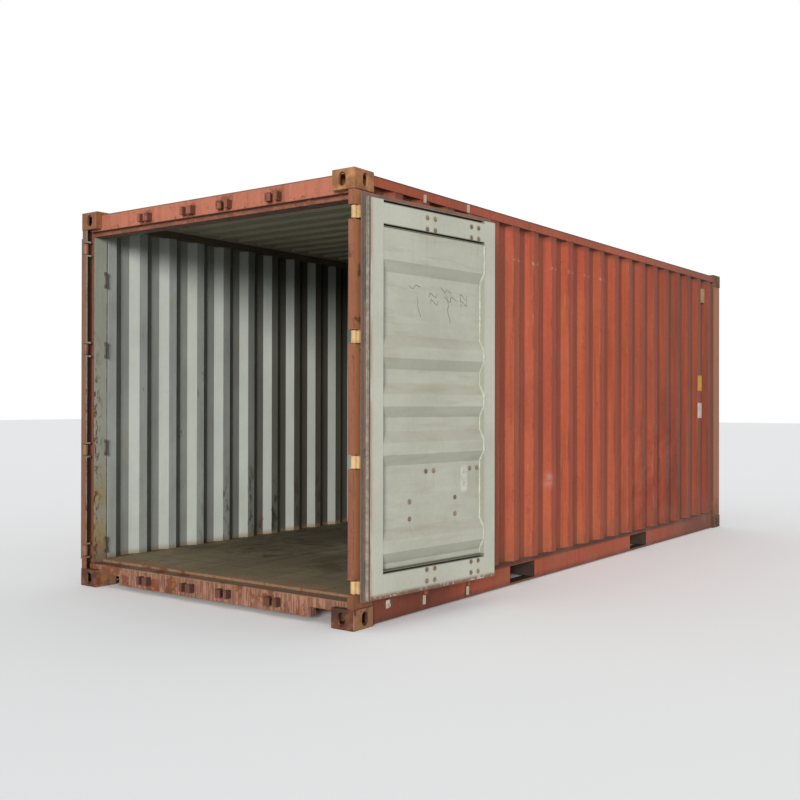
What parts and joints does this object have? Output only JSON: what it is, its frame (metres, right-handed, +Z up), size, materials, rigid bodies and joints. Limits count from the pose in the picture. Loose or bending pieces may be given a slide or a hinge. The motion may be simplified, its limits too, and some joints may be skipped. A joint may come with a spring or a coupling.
{
  "type": "shipping container",
  "caption": "Steel dry freight container for sea, rail and road, with both end doors folded back, corrugated walls, fork pockets and turning locking bars.",
  "frame": {"origin": "on the ground under the middle of the container", "axes": "+Y along the length from the door end to the front end, +X across to the right as seen from the door end, +Z up"},
  "size_m": [2.8358, 6.058, 2.591],
  "materials": {
    "red_oxide_paint": "semi_matte",
    "casting_steel": "matte",
    "grey_paint": "semi_matte",
    "galvanised_steel": "matte",
    "gasket_rubber": "matte",
    "plywood": "matte"
  },
  "bodies": {
    "frame": {"top_corner_castings": "casting_steel", "bottom_corner_castings": "casting_steel", "left_rear_post": "red_oxide_paint", "right_rear_post": "red_oxide_paint", "left_front_post": "red_oxide_paint", "right_front_post": "red_oxide_paint", "door_header": "red_oxide_paint", "door_sill": "red_oxide_paint", "cam_keepers": "casting_steel", "left_top_rail": "red_oxide_paint", "right_top_rail": "red_oxide_paint", "left_bottom_rail": "red_oxide_paint", "right_bottom_rail": "red_oxide_paint", "front_top_rail": "red_oxide_paint", "front_bottom_rail": "red_oxide_paint", "left_wall": "red_oxide_paint", "right_wall": "red_oxide_paint", "front_wall": "red_oxide_paint", "roof": "red_oxide_paint", "floor": "plywood", "cross_members": "red_oxide_paint", "fork_pockets": "red_oxide_paint", "lashing_bars": "grey_paint", "ventilators": "red_oxide_paint"},
    "right_door": {"right_door_frame": "grey_paint", "right_door_panel": "grey_paint", "right_door_gasket": "gasket_rubber", "right_door_hinges": "casting_steel", "right_bar_brackets": "galvanised_steel", "right_handle_catches": "galvanised_steel"},
    "right_bar_inner": {"right_bar_inner": "galvanised_steel"},
    "right_handle_inner": {"right_handle_inner": "galvanised_steel"},
    "right_bar_outer": {"right_bar_outer": "galvanised_steel"},
    "right_handle_outer": {"right_handle_outer": "galvanised_steel"},
    "left_door": {"left_door_frame": "grey_paint", "left_door_panel": "grey_paint", "left_door_gasket": "gasket_rubber", "left_door_hinges": "casting_steel", "left_bar_brackets": "galvanised_steel", "left_handle_catches": "galvanised_steel"},
    "left_bar_inner": {"left_bar_inner": "galvanised_steel"},
    "left_handle_inner": {"left_handle_inner": "galvanised_steel"},
    "left_bar_outer": {"left_bar_outer": "galvanised_steel"},
    "left_handle_outer": {"left_handle_outer": "galvanised_steel"}
  },
  "joints": [
    {"name": "right_door_swing", "type": "hinge", "parent": "frame", "child": "right_door", "pos_m": [1.199, -3.005, 1.293], "axis": [0, 0, -1], "range_deg": [0, 263.5]},
    {"name": "right_bar_inner_turn", "type": "hinge", "parent": "right_door", "child": "right_bar_inner", "pos_m": [1.3112, -1.97609, 0.645], "axis": [0, 0, 1], "range_deg": [0, 180]},
    {"name": "right_handle_inner_swing", "type": "hinge", "parent": "right_bar_inner", "child": "right_handle_inner", "pos_m": [1.30466, -1.94515, 0.645], "axis": [0.9936, -0.1132, 0], "range_deg": [0, 90]},
    {"name": "right_bar_outer_turn", "type": "hinge", "parent": "right_door", "child": "right_bar_outer", "pos_m": [1.26411, -2.38941, 0.645], "axis": [0, 0, 1], "range_deg": [0, 180]},
    {"name": "right_handle_outer_swing", "type": "hinge", "parent": "right_bar_outer", "child": "right_handle_outer", "pos_m": [1.25757, -2.35847, 0.645], "axis": [0.9936, -0.1132, 0], "range_deg": [0, 90]},
    {"name": "left_door_swing", "type": "hinge", "parent": "frame", "child": "left_door", "pos_m": [-1.199, -3.005, 1.293], "axis": [0, 0, 1], "range_deg": [0, 263.5]},
    {"name": "left_bar_inner_turn", "type": "hinge", "parent": "left_door", "child": "left_bar_inner", "pos_m": [-1.3112, -1.97609, 0.645], "axis": [0, 0, -1], "range_deg": [0, 180]},
    {"name": "left_handle_inner_swing", "type": "hinge", "parent": "left_bar_inner", "child": "left_handle_inner", "pos_m": [-1.30466, -1.94515, 0.645], "axis": [0.9936, 0.1132, 0], "range_deg": [0, 90]},
    {"name": "left_bar_outer_turn", "type": "hinge", "parent": "left_door", "child": "left_bar_outer", "pos_m": [-1.26411, -2.38941, 0.645], "axis": [0, 0, -1], "range_deg": [0, 180]},
    {"name": "left_handle_outer_swing", "type": "hinge", "parent": "left_bar_outer", "child": "left_handle_outer", "pos_m": [-1.25757, -2.35847, 0.645], "axis": [0.9936, 0.1132, 0], "range_deg": [0, 90]}
  ]
}
